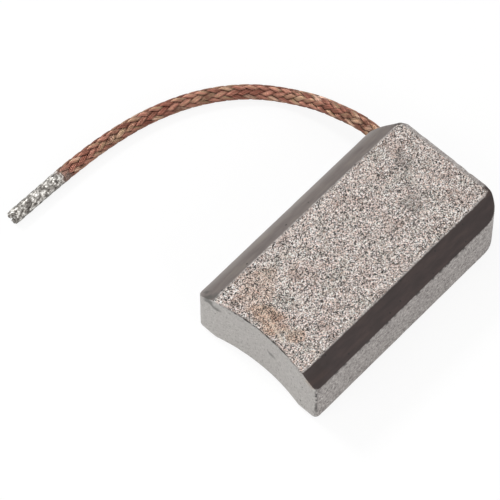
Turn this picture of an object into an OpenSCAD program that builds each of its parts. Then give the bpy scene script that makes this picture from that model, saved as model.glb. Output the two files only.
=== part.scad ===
// Carbon brush of a small motor: a pressed metal-graphite block and its braided
// copper shunt, whose far end is dipped in solder.
//
// The block lies on its plain wide face. +X runs from the commutator end to the
// spring end, +Z is up through the thickness, and the shunt leaves the +Y side.
// The origin is under the middle of the block. Lengths are in millimetres.

/* [Block] */
// Length from the commutator end to the spring end
block_l = 35.3; // [28:0.1:50]
// Width across the two side faces
block_w = 20; // [16:0.1:32]
// Thickness between the two wide faces
block_t = 9.8; // [8:0.1:16]
// Radius of the two upright corners at the spring end
corner_r = 3.5; // [2.5:0.1:5]
// Width of the long chamfers, measured across the upper wide face
chamfer_w = 2.5; // [1:0.1:4]
// Height of the long chamfers, measured down the side faces
chamfer_h = 1.7; // [1:0.1:2.6]
// Radius of the lower edges, all the way round
lower_r = 1; // [0.4:0.05:1.2]
// Small break on the upper edges at the two ends
edge_break = 0.3; // [0.1:0.05:0.6]

/* [Commutator end] */
// Radius of the commutator that the end is ground to
commutator_r = 28; // [20:0.5:80]
// Width of the flat left on each side of the ground hollow
shoulder_w = 3; // [1:0.1:4]
// Radius of the two upright edges beside the flats
flat_r = 0.7; // [0.2:0.05:1]

/* [Shunt] */
// Diameter of the braided copper shunt
shunt_d = 2; // [1.4:0.1:2.4]
// Distance from the spring end to the middle of the shunt
shunt_back = 1.9; // [1.7:0.1:3.2]
// Height of the middle of the shunt above the lower wide face
shunt_z = 5.5; // [3:0.1:6]
// Depth of the braid that is moulded into the block
root_l = 8; // [5:0.1:11]
// How much wider the buried end of the braid is spread
root_spread = 0.4; // [0.1:0.05:0.6]
// Space left round the shunt where it passes the mouth of its socket
mouth_gap = 0.02; // [0.01:0.01:0.1]
// How far the mouth reaches in behind its rim before the powder grips the braid
mouth_l = 0.3; // [0.1:0.05:1]
// Length of the solder that stiffens the far end
tinned_l = 8.8; // [4:0.1:15]
// Break on the cut rim of the tinned end
tip_break = 0.25; // [0.1:0.05:0.5]

/* [Hidden] */
$fn = 96;

// Flats round the plain tube that stands for the braid
SHUNT_SIDES = 8;
// How far a cutting solid runs past the face that it cuts
PAST = 1;
// Steps in a rounded edge of the block
ARC_STEPS = 8;

// Centre of the upright corners, and of the shunt along the block
corner_x = block_l / 2 - corner_r;
corner_y = block_w / 2 - corner_r;
shunt_x = block_l / 2 - shunt_back;

// The shunt leaves where the side face already turns into the corner, so its
// socket opens on a curve. rim_dip is how far that curve has drawn back at the far
// side of the shunt, and the free shunt begins at mouth_depth, just behind it.
rim_x = max(0, shunt_x + shunt_d / 2 + mouth_gap - corner_x);
rim_dip = corner_r - sqrt(corner_r * corner_r - rim_x * rim_x);
mouth_depth = rim_dip + mouth_l;

// Chord of the ground hollow, and the commutator's centre line
hollow_half = block_w / 2 - shoulder_w;
commutator_x = -block_l / 2 - sqrt(commutator_r * commutator_r - hollow_half * hollow_half);

// Route of the free shunt: along X and along Y from where it leaves the side face,
// and its height as a share of the drop from the exit to the surface it lies on.
// It comes straight out, sinks to the surface, then sweeps round to run beside the
// block towards the commutator end. The last stretch is the tinned one.
ROUTE = [
  [0, 0, 1], [0, 1.5, 1], [-0.1, 3, 0.98], [-0.2, 4.5, 0.9], [-0.3, 6, 0.78],
  [-0.4, 8, 0.6], [-0.6, 10, 0.4], [-1, 12, 0.2], [-1.7, 14, 0.06], [-2.8, 16, 0],
  [-4.4, 18, 0], [-6.5, 20, 0], [-8.8, 21.7, 0], [-11.4, 23.2, 0], [-14.4, 24.5, 0],
  [-17.5, 25.5, 0], [-20.7, 26.2, 0], [-23.9, 26.7, 0], [-27, 27, 0], [-30.1, 27.2, 0],
  [-38.9, 27.5, 0]
];

function unit(v) = v / norm(v);

// The route in the block's own frame. It begins at the bottom of the socket's mouth
shunt_points = [
  for (i = [0 : len(ROUTE) - 1])
    [
      shunt_x + ROUTE[i].x,
      i == 0 ? block_w / 2 - mouth_depth : block_w / 2 + ROUTE[i].y,
      shunt_d / 2 + ROUTE[i].z * (shunt_z - shunt_d / 2)
    ]
];

// The tinned end starts where the route's last stretch does
tinned_from = len(ROUTE) - 2;
tinned_at = shunt_points[tinned_from];
tinned_way = unit(shunt_points[tinned_from + 1] - tinned_at);

// Direction of the shunt at a point of its route
function heading(i) =
  i == 0 ? [0, 1, 0]
  : i == tinned_from ? tinned_way
  : unit(shunt_points[i + 1] - shunt_points[i - 1]);

// One ring of the tube, square to the shunt, with a flat at its lowest side
function ring(i) =
  let (
    ahead = heading(i),
    across = unit(cross([0, 0, 1], ahead)),
    up = cross(ahead, across)
  )
  [
    for (k = [0 : SHUNT_SIDES - 1])
      let (a = 360 * (k + 0.5) / SHUNT_SIDES)
      shunt_points[i] + shunt_d / 2 * (cos(a) * across + sin(a) * up)
  ];

// A tube of flats through rings 0 to last, closed at both ends
module tube_through(last) {
  n = SHUNT_SIDES;
  walls = [
    for (i = [0 : last - 1], k = [0 : n - 1])
      [i * n + k, (i + 1) * n + k, (i + 1) * n + (k + 1) % n, i * n + (k + 1) % n]
  ];
  start_cap = [for (k = [0 : n - 1]) k];
  end_cap = [for (k = [n - 1 : -1 : 0]) last * n + k];
  polyhedron([for (i = [0 : last]) each ring(i)], concat([start_cap], walls, [end_cap]));
}

// Quarter of a circle as points, from one angle on
function quarter(centre, r, from) =
  [for (i = [0 : ARC_STEPS]) centre + r * [cos(from + 90 * i / ARC_STEPS), sin(from + 90 * i / ARC_STEPS)]];

// Round foot of an outline whose upright edge stands at `edge`, from the base up
function foot(edge) = quarter([edge - lower_r, lower_r], lower_r, -90);

// Round foot on the other side of the outline, from the upright edge down to the base
function far_foot(edge) = quarter([edge + lower_r, lower_r], lower_r, 180);

// Outline of the block across its length: two long chamfers on top, round edges below
module cross_section() {
  half = block_w / 2;
  polygon(
    concat(
      far_foot(-half),
      foot(half),
      [
        [half, block_t - chamfer_h],
        [half - chamfer_w, block_t],
        [-half + chamfer_w, block_t],
        [-half, block_t - chamfer_h]
      ]
    )
  );
}

// Outline from the middle out to an end or a corner: round foot, broken upper rim
module rim_section(from, edge) {
  polygon(
    concat(
      [[from, 0]],
      foot(edge),
      [[edge, block_t - edge_break], [edge - edge_break, block_t], [from, block_t]]
    )
  );
}

// Plan of the stock, with the two upright edges beside the flats rounded
module plan() {
  half = block_w / 2;
  polygon(
    concat(
      quarter([-block_l / 2 + flat_r, half - flat_r], flat_r, 90),
      quarter([-block_l / 2 + flat_r, -half + flat_r], flat_r, 180),
      [[block_l / 2, -half], [block_l / 2, half]]
    )
  );
}

// Sets a Y-Z outline upright and runs it along X
module along_x(from_x, length) {
  translate([from_x, 0, 0]) rotate([90, 0, 90]) linear_extrude(length) children();
}

// Sets an X-Z outline upright and runs it along Y, to both sides of the middle
module along_y(span) {
  translate([0, span / 2, 0]) rotate([90, 0, 0]) linear_extrude(span) children();
}

// Block as pressed, before the hollow of the commutator end
module pressed_block() {
  intersection() {
    union() {
      along_x(-block_l / 2, block_l - corner_r) cross_section();
      along_y(2 * corner_y) rim_section(corner_x - PAST, block_l / 2);
      for (side = [-1, 1])
        translate([corner_x, side * corner_y, 0]) rotate_extrude() rim_section(0, corner_r);
    }
    along_x(-block_l / 2, block_l) cross_section();
    along_y(block_w) mirror([1, 0]) rim_section(-block_l / 2, block_l / 2);
    linear_extrude(block_t) plan();
  }
}

// Commutator that the hollow is ground to. Its foot flares as the block's edge rounds
module commutator() {
  translate([commutator_x, 0, 0])
    rotate_extrude($fn = 360)
      polygon(
        concat(
          [[0, -PAST], [commutator_r + lower_r, -PAST]],
          [for (p = foot(-commutator_r)) [-p.x, p.y]],
          [[commutator_r, block_t + PAST], [0, block_t + PAST]]
        )
      );
}

// Places its children on the shunt's axis, at a distance in from the side face,
// with their +Z pointing into the block
module into_block(depth) {
  translate([shunt_x, block_w / 2 - depth, shunt_z]) rotate([90, 0, 0]) children();
}

// The braid's buried end, which the powder was pressed round
module root_form() {
  into_block(mouth_depth)
    cylinder(h = root_l - mouth_depth, d1 = shunt_d, d2 = shunt_d + root_spread);
}

// The socket that the braid leaves in the block: an open mouth, then a fit on its
// buried end
module root_socket() {
  into_block(0)
    rotate_extrude()
      polygon([
        [0, -PAST],
        [shunt_d / 2 + mouth_gap, -PAST],
        [shunt_d / 2 + mouth_gap, mouth_depth],
        [shunt_d / 2, mouth_depth],
        [(shunt_d + root_spread) / 2, root_l],
        [0, root_l]
      ]);
}

module carbon_block() {
  color("#8f8783")
    difference() {
      pressed_block();
      commutator();
      root_socket();
    }
}

module shunt_root() {
  color("#a0654d") root_form();
}

module shunt_cord() {
  color("#b5765a") tube_through(tinned_from);
}

module tinned_end() {
  color("#c9c6c0")
    translate(tinned_at)
      rotate([0, 90, atan2(tinned_way.y, tinned_way.x)])
        rotate_extrude()
          polygon([
            [0, 0],
            [shunt_d / 2, 0],
            [shunt_d / 2, tinned_l - tip_break],
            [shunt_d / 2 - tip_break, tinned_l],
            [0, tinned_l]
          ]);
}

carbon_block();
shunt_root();
shunt_cord();
tinned_end();
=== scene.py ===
import math
import random

import bmesh
import bpy
from mathutils import Euler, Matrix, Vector, noise


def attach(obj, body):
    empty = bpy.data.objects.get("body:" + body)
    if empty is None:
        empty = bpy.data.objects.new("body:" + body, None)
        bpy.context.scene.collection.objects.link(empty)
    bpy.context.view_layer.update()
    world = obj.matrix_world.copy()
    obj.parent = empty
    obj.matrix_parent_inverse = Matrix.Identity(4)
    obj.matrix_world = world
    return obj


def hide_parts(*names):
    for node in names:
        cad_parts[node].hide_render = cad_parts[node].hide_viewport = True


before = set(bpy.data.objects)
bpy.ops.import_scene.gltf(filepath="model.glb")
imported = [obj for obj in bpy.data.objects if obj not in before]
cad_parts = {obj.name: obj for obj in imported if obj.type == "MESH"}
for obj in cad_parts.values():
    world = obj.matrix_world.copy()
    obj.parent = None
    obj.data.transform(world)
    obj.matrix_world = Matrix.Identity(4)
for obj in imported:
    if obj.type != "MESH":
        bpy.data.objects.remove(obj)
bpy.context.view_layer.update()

# Carbon brush: a pressed metal-graphite block, and its braided copper shunt with a
# tinned end. Shapes are worked in millimetres and made metres as each is finished.
MM = 0.001

# ---------------------------------------------------------------- camera and light

scene = bpy.context.scene
scene.view_settings.view_transform = "Standard"

LENS_MM = 295.06
SENSOR_MM = 36
CAMERA_AT = (-188.307, -156.677, 457.195)
CAMERA_TURN = (90 - 61.408, 0, -47.240)

camera_data = bpy.data.cameras.new("camera")
camera_data.lens = LENS_MM
camera_data.sensor_width = SENSOR_MM
camera_data.clip_start = 0.02
camera_data.clip_end = 20
camera = bpy.data.objects.new("camera", camera_data)
camera.location = Vector(CAMERA_AT) * MM
camera.rotation_euler = Euler([math.radians(a) for a in CAMERA_TURN])
scene.collection.objects.link(camera)
scene.camera = camera


def linear(hex_colour):
    """An sRGB hex value as the linear colour that Blender's sockets take."""
    parts = [int(hex_colour[i:i + 2], 16) / 255 for i in (1, 3, 5)]
    return [p / 12.92 if p <= 0.04045 else ((p + 0.055) / 1.055) ** 2.4 for p in parts] + [1]


def add_node(tree, kind, settings=None, inputs=None, stops=()):
    """Adds a node. An input is a value, or the node or socket that feeds it. Stops are the places
    and hex colours of a colour ramp."""
    node = tree.nodes.new(kind)
    for name, value in (settings or {}).items():
        setattr(node, name, value)
    for name, value in (inputs or {}).items():
        if isinstance(value, bpy.types.Node):
            value = next(output for output in value.outputs if output.enabled)
        if isinstance(value, bpy.types.NodeSocket):
            tree.links.new(value, node.inputs[name])
        else:
            node.inputs[name].default_value = value
    for number, (place, colour) in enumerate(stops):
        if number > 1:
            node.color_ramp.elements.new(1)
        node.color_ramp.elements[number].position = place
        node.color_ramp.elements[number].color = linear(colour)
    return node


def soft_lamp(name, size, power, at, towards=(0, 0, 5), colour="#FFFFFF"):
    """A studio softbox: a square area lamp turned to a point on the part."""
    data = bpy.data.lights.new(name, "AREA")
    data.size = size * MM
    data.energy = power
    data.color = linear(colour)[:3]
    lamp = bpy.data.objects.new(name, data)
    lamp.location = Vector(at) * MM
    lamp.rotation_euler = (Vector(towards) - Vector(at)).to_track_quat("-Z", "Y").to_euler()
    scene.collection.objects.link(lamp)


ROOM_LIGHT = 0.5
soft_lamp("softbox_key", 80, 0.55, (-30, 300, 330))
soft_lamp("softbox_left", 240, 0.3, (-300, 60, 300))
soft_lamp("softbox_front", 200, 0.3, (-80, -330, 160))

world = bpy.data.worlds.new("studio")
scene.world = world
world.use_nodes = True
studio = world.node_tree
studio.nodes.clear()
ray = add_node(studio, "ShaderNodeLightPath")
seen = add_node(studio, "ShaderNodeMath", {"operation": "MAXIMUM"},
                {0: ray.outputs["Is Camera Ray"], 1: ray.outputs["Is Transmission Ray"]})
seen = add_node(studio, "ShaderNodeMath", {"operation": "MAXIMUM"},
                {0: seen, 1: ray.outputs["Is Glossy Ray"]})
room = add_node(studio, "ShaderNodeBackground", None,
                {"Color": linear("#FFFFFF"), "Strength": ROOM_LIGHT})
backdrop = add_node(studio, "ShaderNodeBackground", None,
                    {"Color": linear("#FFFFFF"), "Strength": 1})
both = add_node(studio, "ShaderNodeMixShader", None, {0: seen, 1: room, 2: backdrop})
add_node(studio, "ShaderNodeOutputWorld", None, {"Surface": both})


# ---------------------------------------------------------------- shunt's route

BLOCK_L, BLOCK_W, BLOCK_T = 35.3, 20, 9.8
SHUNT_D = 2
SHUNT_X, SHUNT_Z = BLOCK_L / 2 - 1.9, 5.5
MOUTH_DEPTH = 1.479
ROUTE = [
    (0, 0, 1), (0, 1.5, 1), (-0.1, 3, 0.98), (-0.2, 4.5, 0.9), (-0.3, 6, 0.78),
    (-0.4, 8, 0.6), (-0.6, 10, 0.4), (-1, 12, 0.2), (-1.7, 14, 0.06), (-2.8, 16, 0),
    (-4.4, 18, 0), (-6.5, 20, 0), (-8.8, 21.7, 0), (-11.4, 23.2, 0), (-14.4, 24.5, 0),
    (-17.5, 25.5, 0), (-20.7, 26.2, 0), (-23.9, 26.7, 0), (-27, 27, 0), (-30.1, 27.2, 0),
    (-38.9, 27.5, 0),
]
route_points = [
    Vector((
        SHUNT_X + dx,
        BLOCK_W / 2 + (dy if i else -MOUTH_DEPTH),
        SHUNT_D / 2 + height * (SHUNT_Z - SHUNT_D / 2),
    ))
    for i, (dx, dy, height) in enumerate(ROUTE)
]
TINNED_FROM = len(ROUTE) - 2


def share(value):
    """The value, held between 0 and 1."""
    return min(1, max(0, value))


def smooth_line(points, step):
    """A Catmull-Rom line through the points, as places a fixed distance apart."""
    ends = [2 * points[0] - points[1], *points, 2 * points[-1] - points[-2]]
    fine = []
    for a, b, c, d in zip(ends, ends[1:], ends[2:], ends[3:]):
        for k in range(24):
            t = k / 24
            fine.append(
                0.5 * ((2 * b) + (c - a) * t + (2 * a - 5 * b + 4 * c - d) * t * t
                       + (3 * b - a - 3 * c + d) * t ** 3)
            )
    fine.append(points[-1])
    line, left = [fine[0]], step
    for a, b in zip(fine, fine[1:]):
        gap = (b - a).length
        while left <= gap:
            line.append(a.lerp(b, left / gap))
            left += step
        left -= gap
    return line


def headings(line):
    """At each place of a line: the way ahead, the way across and the way up."""
    frames = []
    for i in range(len(line)):
        ahead = (line[min(i + 1, len(line) - 1)] - line[max(i - 1, 0)]).normalized()
        across = Vector((0, 0, 1)).cross(ahead).normalized()
        frames.append((ahead, across, ahead.cross(across)))
    return frames


# ---------------------------------------------------------------- braid

# Eight bundles wind each way round the shunt. Each passes over two of the others and
# under two, which sets the herringbone columns along the cord. LAY is the length of one
# full turn, and WEAVE is how far a bundle rises and dives from BUNDLE_R as it does so.
BUNDLES = 8
LAY = 12.8
WIRES = 5
WIRE_STEP = 0.29
WIRE_R = 0.07
BUNDLE_R = 0.785
WEAVE = 0.125
WIRE_PITCH = 0.118
WIRE_SIDES = 6
CROWN = 0.075
DIVE = 2.2
OUTERMOST = 0.935
CORE_R = 0.62
LOOSE_TO = 9


def wire_line(line, frames, bundle, way, number, rng):
    """One wire of one bundle: its places along the cord, and how near a crease each is."""
    lateral = (number - (WIRES - 1) / 2) * WIRE_PITCH
    crown = CROWN * (1 - (2 * number / (WIRES - 1) - 1) ** 2)
    drift = rng.uniform(0, 50)
    places, creases = [], []
    for i, (place, (ahead, across, up)) in enumerate(zip(line, frames)):
        along = i * WIRE_STEP
        loose = near_block(along)
        wander = noise.noise(Vector((along * 0.45, drift, 0)))
        swell = noise.noise(Vector((along * 0.3, 7 + bundle, 3 + way)))
        aside = (lateral * (1 + 0.16 * swell + 0.5 * loose * wander) + 0.022 * wander) / BUNDLE_R
        crossing = 2 * bundle + way * 2 * BUNDLES * along / LAY + aside * BUNDLES / (2 * math.pi)
        swing = math.cos(math.pi / 2 * (crossing - 0.5))
        over = way * math.tanh(DIVE * swing) / math.tanh(DIVE)
        creases.append(share((0.4 - abs(swing)) / 0.3))
        radius = BUNDLE_R + WEAVE * over + crown * over + 0.018 * wander
        radius = min(radius, OUTERMOST)
        radius += loose * 0.05 * noise.noise(Vector((along, drift, 5)))
        angle = way * 2 * math.pi * along / LAY + 2 * math.pi * bundle / BUNDLES + aside
        places.append(place + radius * (math.cos(angle) * across + math.sin(angle) * up))
    return places, creases


def wires_mesh(name, lines, thickness, core):
    """A mesh of round wires that follow the lines, with a core down the middle. The core is its
    line and how many times as thick as a wire it is."""
    curve = bpy.data.curves.new(name, "CURVE")
    curve.dimensions = "3D"
    curve.bevel_depth = thickness * MM
    curve.bevel_resolution = 1
    curve.use_fill_caps = True
    for places, fat in [*((l, 1) for l in lines), *core]:
        spline = curve.splines.new("POLY")
        spline.points.add(len(places) - 1)
        for point, place in zip(spline.points, places):
            point.co = (*(place * MM), 1)
            point.radius = fat
    holder = bpy.data.objects.new(name + "_wires", curve)
    scene.collection.objects.link(holder)
    made = bpy.data.meshes.new_from_object(
        holder, depsgraph=bpy.context.evaluated_depsgraph_get())
    bpy.data.objects.remove(holder)
    bpy.data.curves.remove(curve)
    made.name = name
    return made


def close_tubes(mesh):
    """Joins the end caps to the wires' tubes, which a curve's mesh leaves apart."""
    bm = bmesh.new()
    bm.from_mesh(mesh)
    bmesh.ops.remove_doubles(bm, verts=bm.verts, dist=0.0001 * MM)
    bm.to_mesh(mesh)
    bm.free()


def add_piece(name, mesh, material):
    """Puts a finished mesh in the scene, on the part's one body."""
    piece = bpy.data.objects.new(name, mesh)
    scene.collection.objects.link(piece)
    mesh.materials.clear()
    mesh.materials.append(material)
    for face in mesh.polygons:
        face.use_smooth = True
    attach(piece, "root")
    return piece


def point_attribute(mesh, name, values):
    """A number at each of a mesh's vertices, for its material to read."""
    layer = mesh.attributes.new(name, "FLOAT", "POINT")
    layer.data.foreach_set("value", values)


def new_material(name):
    """A material with no nodes yet, and its node tree."""
    material = bpy.data.materials.new(name)
    material.use_nodes = True
    material.node_tree.nodes.clear()
    return material, material.node_tree


TARNISH_PATCH, OLIVE_SPECK = 1.6, 0.35


def copper_wire():
    """Bare drawn copper, plaited by machine and a little tarnished. It gives the eye red-brown
    bundles with pink and brassy glints, shade painted into the gaps, and grey where solder has
    crept in."""
    material, tree = new_material("tarnished_drawn_copper")
    at = add_node(tree, "ShaderNodeTexCoord").outputs["Object"]
    tone, hollow_shade, solder = (
        add_node(tree, "ShaderNodeAttribute", {"attribute_name": name}).outputs["Fac"]
        for name in ("tone", "hollow_shade", "solder"))
    tarnish = add_node(tree, "ShaderNodeTexNoise", None, {
        "Vector": at, "Scale": 1 / (TARNISH_PATCH * MM), "Detail": 3, "Roughness": 0.6})
    dulled = add_node(tree, "ShaderNodeMapRange", {"interpolation_type": "SMOOTHSTEP"},
                      {"Value": tarnish, "From Min": 0.45, "From Max": 0.75})
    speck = add_node(tree, "ShaderNodeTexNoise", None, {
        "Vector": at, "Scale": 1 / (OLIVE_SPECK * MM), "Detail": 2, "Roughness": 0.5})
    olive = add_node(tree, "ShaderNodeMapRange", {"interpolation_type": "SMOOTHSTEP"},
                     {"Value": speck, "From Min": 0.62, "From Max": 0.8})
    colour = add_node(tree, "ShaderNodeValToRGB", None, {"Fac": tone}, [
        (0, "#6E4036"), (0.35, "#9C6757"), (0.55, "#BC8876"), (0.72, "#A98C6F"), (1, "#F2C8B4")])
    # Painted shade: the near-black brown darkens the gaps, the creases and each bundle's edges.
    for amount, over in ((dulled, "#7A5446"), (olive, "#8F7F66"), (hollow_shade, "#2E1713"),
                         (solder, "#8E8780")):
        colour = add_node(tree, "ShaderNodeMix", {"data_type": "RGBA"},
                          {0: amount, 6: colour, 7: linear(over)})
    shader = add_node(tree, "ShaderNodeBsdfPrincipled", None,
                      {"Base Color": colour, "Metallic": 0.85, "Roughness": 0.36})
    add_node(tree, "ShaderNodeOutputMaterial", None, {"Surface": shader})
    return material


SOLDER_LUMP = 0.5


def soldered_braid():
    """Tin-lead solder, dipped while molten so that it fills the braid. It gives the eye bright
    ridges where bundles stand out, and a lumpy grey skin with shade painted into the hollows; its
    palest and darkest lumps are partly painted highlights and dark reflections."""
    material, tree = new_material("dipped_tin_lead_solder")
    at = add_node(tree, "ShaderNodeTexCoord").outputs["Object"]
    hollow_shade, copper_left = (
        add_node(tree, "ShaderNodeAttribute", {"attribute_name": name}).outputs["Fac"]
        for name in ("hollow_shade", "copper"))
    skin = add_node(tree, "ShaderNodeTexNoise", None, {
        "Vector": at, "Scale": 1 / (SOLDER_LUMP * MM), "Detail": 4, "Roughness": 0.6})
    # The skin's lumps: the solder's own lumpy skin, with the near-white and near-black ends partly
    # painted highlights and dark reflections.
    colour = add_node(tree, "ShaderNodeValToRGB", None, {"Fac": skin},
                      [(0.32, "#423D3A"), (0.5, "#99958F"), (0.62, "#F2EFE9")])
    # Painted shade: darker in the hollows between the drowned wires.
    for amount, over in ((hollow_shade, "#332E2B"), (copper_left, "#80523F")):
        colour = add_node(tree, "ShaderNodeMix", {"data_type": "RGBA"},
                          {0: amount, 6: colour, 7: linear(over)})
    dimples = add_node(tree, "ShaderNodeBump", None,
                       {"Height": skin, "Strength": 0.35, "Distance": 0.05 * MM})
    rough = add_node(tree, "ShaderNodeMapRange", None,
                     {"Value": skin, "To Min": 0.18, "To Max": 0.42})
    shader = add_node(tree, "ShaderNodeBsdfPrincipled", None, {
        "Base Color": colour, "Metallic": 0.9, "Roughness": rough, "Normal": dimples})
    add_node(tree, "ShaderNodeOutputMaterial", None, {"Surface": shader})
    return material


def wire_place(k, wires, places):
    """The wire that a vertex is on and its place along it. The caps come first, the last wire's
    before the others', and each has its far end before its near one."""
    both_caps = 2 * WIRE_SIDES
    caps = wires * both_caps
    if k < caps:
        at_start = k % both_caps >= WIRE_SIDES
        return wires - 1 - k // both_caps, 0 if at_start else places - 1
    return (k - caps) // (places * WIRE_SIDES), (k - caps) % (places * WIRE_SIDES) // WIRE_SIDES


def soldered(to_joint, place):
    """How much solder a place has taken, from how far it is past the joint and a ragged edge."""
    return share((to_joint + 1.1 + 0.9 * noise.noise(place * 1.1)) / 1.8)


def near_block(along):
    """How loose the braid is: it is splayed a little where it comes out of the block."""
    return max(0, 1 - along / LOOSE_TO)


random_wires = random.Random(41)
whole_line = smooth_line(route_points, WIRE_STEP)
tinned_line_from = min(range(len(whole_line)),
                       key=lambda i: (whole_line[i] - route_points[TINNED_FROM]).length)
frames_along = headings(whole_line)

wire_lines, wire_creases, wire_tones = [], [], []
for way in (1, -1):
    for bundle in range(BUNDLES):
        bundle_tone = random_wires.uniform(0.3, 0.75)
        for number in range(WIRES):
            places, creases = wire_line(whole_line, frames_along, bundle, way, number,
                                        random_wires)
            wire_lines.append(places)
            wire_creases.append(creases)
            wire_tones.append(share(bundle_tone + random_wires.uniform(-0.15, 0.15)))

last = tinned_line_from + 1
braid = wires_mesh("plaited_shunt", [w[:last] for w in wire_lines], WIRE_R,
                   [(whole_line[:last], CORE_R / WIRE_R)])
tones, hollow_shade, solder = [], [], []
for k, vertex in enumerate(braid.vertices):
    number, i = wire_place(k, len(wire_lines) + 1, last)
    off = (vertex.co / MM - whole_line[i]).length
    along = i * WIRE_STEP
    tone = wire_tones[number] if number < len(wire_tones) else 0
    tone += 0.25 * noise.noise(Vector((along * 0.5, number // WIRES * 3.1, 0)))
    tone += 0.2 * max(0, 1 - along / 12)
    tones.append(share(tone))
    from_middle = abs(number % WIRES - (WIRES - 1) / 2) / ((WIRES - 1) / 2)
    crease = wire_creases[number][i] if number < len(wire_creases) else 1
    # Painted shade: darker where a wire lies deep, near the creases between columns and at a
    # bundle's edges.
    hollow_shade.append(share(max((0.82 - off) / 0.1, 0.8 * crease) + 0.3 * from_middle ** 2 - 0.1))
    solder.append(soldered((i - last + 1) * WIRE_STEP, vertex.co / MM))
point_attribute(braid, "tone", tones)
point_attribute(braid, "hollow_shade", hollow_shade)
point_attribute(braid, "solder", solder)
close_tubes(braid)
copper = copper_wire()
shunt = add_piece("plaited_shunt", braid, copper)
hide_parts("shunt_cord")

# ---------------------------------------------------------------- tinned end

TIN_SKIN = 0.075
TIN_CORE_R = 0.76
TIN_SWELL = 1.12
CUT_END_FROM = 8.3


def tinned_tip():
    """The dipped end: the same wires, drowned in solder that has set as one skin."""
    first = tinned_line_from
    stop = len(whole_line) - 1
    rng = random.Random(7)
    lines = []
    for places in wire_lines:
        cut = stop - rng.randint(0, 2)
        pulled = []
        for i in range(first, cut + 1):
            dipped = share((i - first) * WIRE_STEP / 2.5)
            pulled.append(whole_line[i] + (places[i] - whole_line[i]) * (1 - 0.035 * dipped))
        lines.append(pulled)
    thickness = WIRE_R * TIN_SWELL
    mesh = wires_mesh("tinned_braid", lines, thickness,
                      [(whole_line[first:stop], TIN_CORE_R / thickness)])
    holder = bpy.data.objects.new("tinned_braid_raw", mesh)
    scene.collection.objects.link(holder)
    skin = holder.modifiers.new("skin", "REMESH")
    skin.mode = "VOXEL"
    skin.voxel_size = TIN_SKIN * MM
    settle = holder.modifiers.new("settle", "SMOOTH")
    settle.factor = 0.5
    settle.iterations = 3
    settled = holder.evaluated_get(bpy.context.evaluated_depsgraph_get())
    made = bpy.data.meshes.new_from_object(settled)
    bpy.data.objects.remove(holder)
    made.name = "tinned_braid"
    ahead = frames_along[-1][0]
    start = whole_line[first]
    hollow_shade, copper_left = [], []
    for vertex in made.vertices:
        p = vertex.co / MM
        along = (p - start).dot(ahead)
        off = (p - start - along * ahead).length
        # Painted shade in the hollows, and a flat share of it past CUT_END_FROM.
        hollow_shade.append(share((0.87 - off) / 0.14) if along < CUT_END_FROM else 0.2)
        copper_left.append(1 - soldered(along, p))
    point_attribute(made, "hollow_shade", hollow_shade)
    point_attribute(made, "copper", copper_left)
    return made


tin = add_piece("tinned_braid", tinned_tip(), soldered_braid())
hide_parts("tinned_end")

# ---------------------------------------------------------------- block

CHAMFER_W, CHAMFER_H = 2.5, 1.7
CORNER_R, LOWER_R, FLAT_R = 3.5, 1, 0.7
COMMUTATOR_R, SHOULDER_W = 28, 3
WORN_EDGE = 0.16
CORNER_RUB = 0.6
HOLLOW_REACH = 6
SLICE = 0.23
GRAIN = 0.12


def sharp(edge, least):
    """True for an edge between two faces that turn by at least so many degrees."""
    return len(edge.link_faces) == 2 and math.degrees(edge.calc_face_angle(0)) > least


def hollow_depth(y):
    """How far the ground hollow has cut into the commutator end, across the block."""
    half = BLOCK_W / 2 - SHOULDER_W
    if abs(y) >= half:
        return 0
    return math.sqrt(COMMUTATOR_R ** 2 - y * y) - math.sqrt(COMMUTATOR_R ** 2 - half ** 2)


def blob(p, centre, size, ragged=0.5, grain=1.0):
    """A soft ragged spot round a centre, from 1 inside to 0 outside."""
    off = Vector([(a - b) / s for a, b, s in zip(p, centre, size)]).length
    off += ragged * noise.noise(Vector(p) * grain)
    return share((1.25 - off) / 0.5)


def block_shape():
    """The block as pressed and chamfered, in a grid of faces fine enough to wear."""
    bm = bmesh.new()
    bmesh.ops.create_cube(bm, size=1)
    bmesh.ops.scale(bm, vec=(BLOCK_L, BLOCK_W, BLOCK_T), verts=bm.verts)
    bmesh.ops.translate(bm, vec=(0, 0, BLOCK_T / 2), verts=bm.verts)
    for end, radius, steps in ((1, CORNER_R, 12), (-1, FLAT_R, 3)):
        upright = [e for e in bm.edges
                   if all(v.co.x * end > BLOCK_L / 2 - 0.01 for v in e.verts)
                   and abs(e.verts[0].co.z - e.verts[1].co.z) > 1]
        bmesh.ops.bevel(bm, geom=upright, offset=radius, segments=steps, profile=0.5,
                        affect="EDGES", material=-1)
    foot = [e for e in bm.edges if all(v.co.z < 0.01 for v in e.verts)]
    bmesh.ops.bevel(bm, geom=foot, offset=LOWER_R, segments=6, profile=0.5,
                    affect="EDGES", material=-1)
    for side in (1, -1):
        cut = bmesh.ops.bisect_plane(
            bm, geom=bm.verts[:] + bm.edges[:] + bm.faces[:], dist=0.0001, clear_outer=True,
            plane_co=(0, side * (BLOCK_W / 2 - CHAMFER_W), BLOCK_T),
            plane_no=(0, side * CHAMFER_H, CHAMFER_W))
        rim = [e for e in cut["geom_cut"] if isinstance(e, bmesh.types.BMEdge)]
        bmesh.ops.holes_fill(bm, edges=rim)
    bmesh.ops.recalc_face_normals(bm, faces=bm.faces)
    worn = [e for e in bm.edges if sharp(e, 24) and e.verts[0].co.z + e.verts[1].co.z > BLOCK_T]
    bmesh.ops.bevel(bm, geom=worn, offset=WORN_EDGE, segments=2, profile=0.5,
                    affect="EDGES", material=-1, clamp_overlap=True)
    low = Vector((-BLOCK_L / 2, -BLOCK_W / 2, 0))
    for axis, size in enumerate((BLOCK_L, BLOCK_W, BLOCK_T)):
        across = Vector([int(k == axis) for k in range(3)])
        count = round(size / SLICE)
        for n in range(1, count):
            bmesh.ops.bisect_plane(
                bm, geom=bm.verts[:] + bm.edges[:] + bm.faces[:], dist=0.0001,
                plane_co=low + across * size * n / count, plane_no=across)
    return bm


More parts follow.
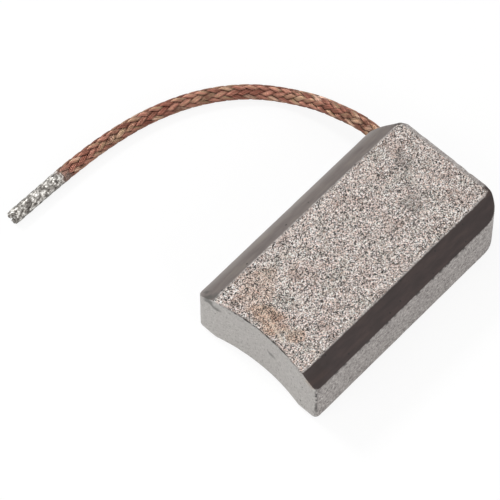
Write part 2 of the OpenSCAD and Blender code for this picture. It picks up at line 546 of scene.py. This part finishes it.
def wear_block(bm):
    """Grinds the hollow, then chips and rubs the edges as handling does."""
    corner_at = Vector((BLOCK_L / 2 - CORNER_R, BLOCK_W / 2 - CORNER_R))
    for v in bm.verts:
        out = Vector((v.co.x, v.co.y)) - corner_at
        if out.x > 0 and out.y > 0:
            pull = CORNER_RUB * share((out.length - 2.2) / 1.1) ** 2 * share((v.co.z - 6.5) / 3)
            pull *= 2 * out.x * out.y / out.length ** 2
            v.co.xy = corner_at + out * (1 - pull / out.length)
        into = v.co.x + BLOCK_L / 2
        if into < HOLLOW_REACH:
            v.co.x += hollow_depth(v.co.y) * (1 - into / HOLLOW_REACH)
    bm.normal_update()
    moves = []
    for v in bm.verts:
        p = v.co
        into = p.x + BLOCK_L / 2 - hollow_depth(p.y)
        drop = 0.012 * noise.noise(p * 3.7) + 0.02 * noise.noise(p * 0.5)
        near_rim = max(0, 1 - max(into, BLOCK_T - p.z) / 0.6)
        if near_rim:
            drop -= 0.16 * near_rim * max(0, noise.noise(p * 1.3 + Vector((3, 0, 8))) + 0.15)
        far_rim = max(0, 1 - max(BLOCK_L / 2 - p.x, BLOCK_T - p.z) / 0.6)
        if far_rim:
            drop -= 0.12 * far_rim * max(0, noise.noise(p * 1.1 + Vector((9, 4, 0))) + 0.05)
        moves.append(v.normal * drop)
    for v, move in zip(bm.verts, moves):
        v.co += move


block_bm = block_shape()
wear_block(block_bm)
bmesh.ops.triangulate(block_bm, faces=[f for f in block_bm.faces if len(f.verts) > 4])
bmesh.ops.scale(block_bm, vec=(MM, MM, MM), verts=block_bm.verts)
block_mesh = bpy.data.meshes.new("pressed_block")
block_bm.to_mesh(block_mesh)
block_bm.free()


def side_of_chamfer(y):
    """How far a place on the upper face is inside the chamfer's edge."""
    return BLOCK_W / 2 - CHAMFER_W - abs(y)


# Marks on the block: how strong each is, where it is, how far it reaches, how ragged its edge is
# and how fine the raggedness is.
SCORCHED_CORNERS = [
    (1, (17.1, -7.3, 9.5), (0.8, 0.9, 0.9), 0.5, 1.3),
    (0.8, (16.9, 7.2, 9.5), (0.5, 0.8, 0.7), 0.7, 1.9),
]
TAN_STAINS = [
    (0.55, (-14.9, 0.4, 9.8), (1.5, 2.6, 1), 0.8, 0.7),
    (0.45, (-14.4, -3.4, 9.8), (1.2, 1, 1), 0.8, 0.9),
    (0.3, (-12.2, 4.8, 9.8), (3.4, 2.2, 1), 1, 0.5),
    (0.35, (-16.2, -8.9, 9), (1.8, 1.2, 1), 0.8, 1.1),
]
DARK_SMUDGES = [
    (0.75, (-17.2, 7.9, 8.7), (0.7, 1.2, 0.9), 0.8, 1.4),
    (0.6, (-17, -1.8, 6), (1.5, 0.75, 0.35), 0.4, 1.2),
    (0.3, (9.4, -1.6, 9.8), (1.3, 1.3, 1), 0.9, 0.8),
    (0.35, (13.2, 3.4, 9.8), (1.2, 1.4, 1), 0.9, 0.9),
]


def marked(p, marks):
    """How far the strongest of some marks shows at a place."""
    return max(strength * blob(p, *mark) for strength, *mark in marks)


def block_finish(p, n):
    """What each place on the block shows, as shares from 0 to 1."""
    up = n.z
    wander = noise.noise(p * 2.1)
    inside = side_of_chamfer(p.y) + (0.3 if p.y < 0 else 0.1) * wander
    far = BLOCK_L / 2 - 0.4 - p.x + 0.1 * wander
    corner = Vector((p.x - BLOCK_L / 2 + CORNER_R, abs(p.y) - BLOCK_W / 2 + CORNER_R))
    if corner.x > 0 and corner.y > 0:
        far = min(far, CORNER_R - 0.4 - corner.length)
    finish = {}
    finish["grains"] = share((up - 0.9) / 0.08) * share(inside / 0.2) * share(far / 0.2)
    sloped = share((up - 0.5) / 0.2) * share((0.97 - up) / 0.06) * share(0.25 - inside)
    sloped = share(sloped * 4)
    finish["chamfer"] = sloped if p.y > 0 else 0
    # The right chamfer gets a darker copy of the chamfer's colour: painted shade, as it faces away
    # from the light. The scorched corners are real scorch.
    finish["burnt"] = sloped if p.y < 0 else 0
    finish["burnt"] = max(finish["burnt"], marked(p, SCORCHED_CORNERS))
    finish["ground"] = share((-n.x - 0.6) / 0.2)
    # A paler band at the top of the cord side: a painted sheen.
    finish["rim"] = 0.6 * share(1 - (BLOCK_W / 2 - p.y) / 1.1) * share(p.z - 6) if p.y > 0 else 0
    finish["stain"] = marked(p, TAN_STAINS)
    finish["pale"] = 0.5 * blob(p, (-15 + 0.35 * p.y, -0.4, 9.8), (0.2, 2.1, 1), 0.8, 1.6)
    finish["smudge"] = marked(p, DARK_SMUDGES)
    # The edge share: dark lines along the ground end's top edge, the near upright edge and the
    # right chamfer's foot, painted as shade at the edges.
    into = p.x + BLOCK_L / 2 - hollow_depth(p.y)
    lip = share((0.2 - max(into, BLOCK_T - p.z)) / 0.06) * share((7.4 - abs(p.y + 0.3)) / 3)
    lip *= share(0.75 + 1.2 * noise.noise(p * 1.9))
    upright = Vector((into, p.y + BLOCK_W / 2)).length
    upright = share((0.42 - upright) / 0.12) * share((BLOCK_T - 1.6 - p.z) / 0.3)
    upright *= share(0.35 + 2.5 * noise.noise(p * 2.3))
    ledge = share((0.22 - Vector((p.y + BLOCK_W / 2, p.z - BLOCK_T + CHAMFER_H)).length) / 0.1)
    ledge *= share(0.1 + 3 * noise.noise(Vector((p.x * 1.4, 3, 3))))
    finish["edge"] = max(0.95 * lip, upright, 0.8 * ledge)
    return finish


finishes = [block_finish(v.co / MM, n.vector)
            for v, n in zip(block_mesh.vertices, block_mesh.vertex_normals)]
for name in finishes[0]:
    point_attribute(block_mesh, name, [f[name] for f in finishes])


FINE_GRAIN, BLOT, SMEAR, DIE_STREAK = 0.16, 3.2, 0.3, 0.8
PIT_SPACING = 1.9


def metal_graphite(marks):
    """Copper and graphite powder, pressed and baked. It gives the eye a dull grey-mauve skin on the
    die's faces, a sheen painted as a paler band atop the cord side, a right chamfer painted darker
    as shade, and salt-and-pepper grains on the face left as pressed."""
    material, tree = new_material("pressed_metal_graphite")
    at = add_node(tree, "ShaderNodeTexCoord").outputs["Object"]
    shows = {
        name: add_node(tree, "ShaderNodeAttribute", {"attribute_name": name}).outputs["Fac"]
        for name in marks}

    # The powder's grains: dark graphite, grey and bright copper-tinged ones.
    cell = add_node(tree, "ShaderNodeTexVoronoi", None,
                    {"Vector": at, "Scale": 1 / (GRAIN * MM), "Randomness": 1})
    lot = add_node(tree, "ShaderNodeSeparateColor", None, {"Color": cell.outputs["Color"]})
    powder = add_node(tree, "ShaderNodeValToRGB", None, {"Fac": lot.outputs[0]}, [
        (0.0, "#0A0908"), (0.19, "#2A2422"), (0.3, "#968D88"), (0.6, "#CBC1BC"),
        (0.8, "#FFF6F1"), (1, "#FFFFFF")])
    cast = add_node(tree, "ShaderNodeValToRGB", None, {"Fac": lot.outputs[1]}, [
        (0, "#E3B79C"), (0.3, "#F2E4DC"), (0.7, "#FFFFFF"), (1, "#D9E3DE")])
    powder = add_node(tree, "ShaderNodeMix", {"data_type": "RGBA", "blend_type": "MULTIPLY"},
                      {0: 0.55, 6: powder, 7: cast})
    patch = add_node(tree, "ShaderNodeTexNoise", None,
                     {"Vector": at, "Scale": 1 / (BLOT * MM), "Detail": 3, "Roughness": 0.55})
    blot = add_node(tree, "ShaderNodeValToRGB", None, {"Fac": patch},
                    [(0.32, "#B08F7D"), (0.5, "#FFFFFF"), (0.68, "#BFC6BE")])
    top = add_node(tree, "ShaderNodeMix", {"data_type": "RGBA", "blend_type": "MULTIPLY"},
                   {0: 0.4, 6: powder, 7: blot})

    # The skins that the die, the grinding wheel and the chamfering leave, with painted shade on the
    # right chamfer.
    smear = add_node(tree, "ShaderNodeTexNoise", None,
                     {"Vector": at, "Scale": 1 / (SMEAR * MM), "Detail": 3, "Roughness": 0.7})
    stretched = add_node(tree, "ShaderNodeMapping", None, {"Vector": at, "Scale": (0.25, 1, 1)})
    streak = add_node(tree, "ShaderNodeTexNoise", None, {
        "Vector": stretched, "Scale": 1 / (DIE_STREAK * MM), "Detail": 4, "Roughness": 0.6})
    die = add_node(tree, "ShaderNodeValToRGB", None, {"Fac": smear}, [
        (0.32, "#4A4441"), (0.43, "#958E8B"), (0.58, "#B2ACA8"), (0.68, "#DAD5D1")])
    ground = add_node(tree, "ShaderNodeValToRGB", None, {"Fac": smear}, [
        (0.32, "#86807C"), (0.42, "#B3AFAB"), (0.58, "#BDB9B5"), (0.7, "#D0CCC8")])
    slope = add_node(tree, "ShaderNodeValToRGB", None, {"Fac": streak},
                     [(0.3, "#675E5A"), (0.5, "#736A66"), (0.72, "#80776F")])
    # The right chamfer's colour, dark as painted shade; the scorched corners use it too.
    burnt = add_node(tree, "ShaderNodeValToRGB", None, {"Fac": streak},
                     [(0.3, "#291E1C"), (0.5, "#322624"), (0.72, "#3F312D")])
    # Pits: near-black dots painted as the shade inside small pores that the shape lacks.
    pit_shade = add_node(tree, "ShaderNodeTexVoronoi", None,
                   {"Vector": at, "Scale": 1 / (PIT_SPACING * MM), "Randomness": 1})
    pit_shade = add_node(tree, "ShaderNodeMapRange", {"interpolation_type": "SMOOTHSTEP"}, {
        "Value": pit_shade.outputs["Distance"], "From Min": 0.085, "From Max": 0.055, "To Max": 0.85})

    colour = die
    for amount, blend, over in (
        (shows["ground"], "MIX", ground),
        (shows["chamfer"], "MIX", slope),
        # Painted sheen along the top of the cord side.
        (shows["rim"], "MIX", linear("#ABA6A2")),
        (shows["burnt"], "MIX", burnt),
        (shows["grains"], "MIX", top),
        (pit_shade, "MIX", linear("#181412")),
        (shows["stain"], "MULTIPLY", linear("#D8AE84")),
        (shows["pale"], "MIX", linear("#F0DFCC")),
        (shows["smudge"], "MIX", linear("#4B4A45")),
        # Painted shade: dark lines along some edges.
        (shows["edge"], "MIX", linear("#1C1613")),
    ):
        colour = add_node(tree, "ShaderNodeMix", {"data_type": "RGBA", "blend_type": blend},
                          {0: amount, 6: colour, 7: over})
    fine = add_node(tree, "ShaderNodeTexNoise", None,
                    {"Vector": at, "Scale": 1 / (FINE_GRAIN * MM), "Detail": 2, "Roughness": 0.7})
    height = add_node(tree, "ShaderNodeMath", {"operation": "MULTIPLY_ADD"},
                      {0: lot.outputs[0], 1: shows["grains"], 2: fine})
    relief = add_node(tree, "ShaderNodeBump", None,
                      {"Height": height, "Strength": 0.4, "Distance": 0.03 * MM})
    shader = add_node(tree, "ShaderNodeBsdfPrincipled", None, {
        "Base Color": colour, "Metallic": 0.15, "Roughness": 0.5, "Normal": relief})
    add_node(tree, "ShaderNodeOutputMaterial", None, {"Surface": shader})
    return material


block = add_piece("pressed_block", block_mesh, metal_graphite(finishes[0]))
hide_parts("carbon_block")

# The end that is moulded into the block keeps its own solid, in the same copper.
moulded_end = bpy.data.objects["shunt_root"]
moulded_end.data.materials.clear()
moulded_end.data.materials.append(copper)

# ---------------------------------------------------------------- floor

floor_data = bpy.data.meshes.new("floor")
floor_bm = bmesh.new()
bmesh.ops.create_grid(floor_bm, x_segments=1, y_segments=1, size=3)
floor_bm.to_mesh(floor_data)
floor_bm.free()
floor = bpy.data.objects.new("floor", floor_data)
scene.collection.objects.link(floor)


SHADOW_KEPT = 0.18


def white_paper():
    """Matt white paper under the part. It gives the eye plain white, on which only a faint part of
    the shadow is kept."""
    material, tree = new_material("white_paper_sweep")
    matt = add_node(tree, "ShaderNodeBsdfPrincipled", None,
                    {"Base Color": linear("#F4F4F4"), "Roughness": 0.9})
    glow = add_node(tree, "ShaderNodeEmission", None,
                    {"Color": linear("#FFFFFF"), "Strength": 1.05})
    eye = add_node(tree, "ShaderNodeLightPath")
    to_camera = add_node(tree, "ShaderNodeMath", {"operation": "MULTIPLY"},
                         {0: eye.outputs["Is Camera Ray"], 1: 1 - SHADOW_KEPT})
    shown = add_node(tree, "ShaderNodeMixShader", None, {0: to_camera, 1: matt, 2: glow})
    add_node(tree, "ShaderNodeOutputMaterial", None, {"Surface": shown})
    return material


floor_data.materials.append(white_paper())
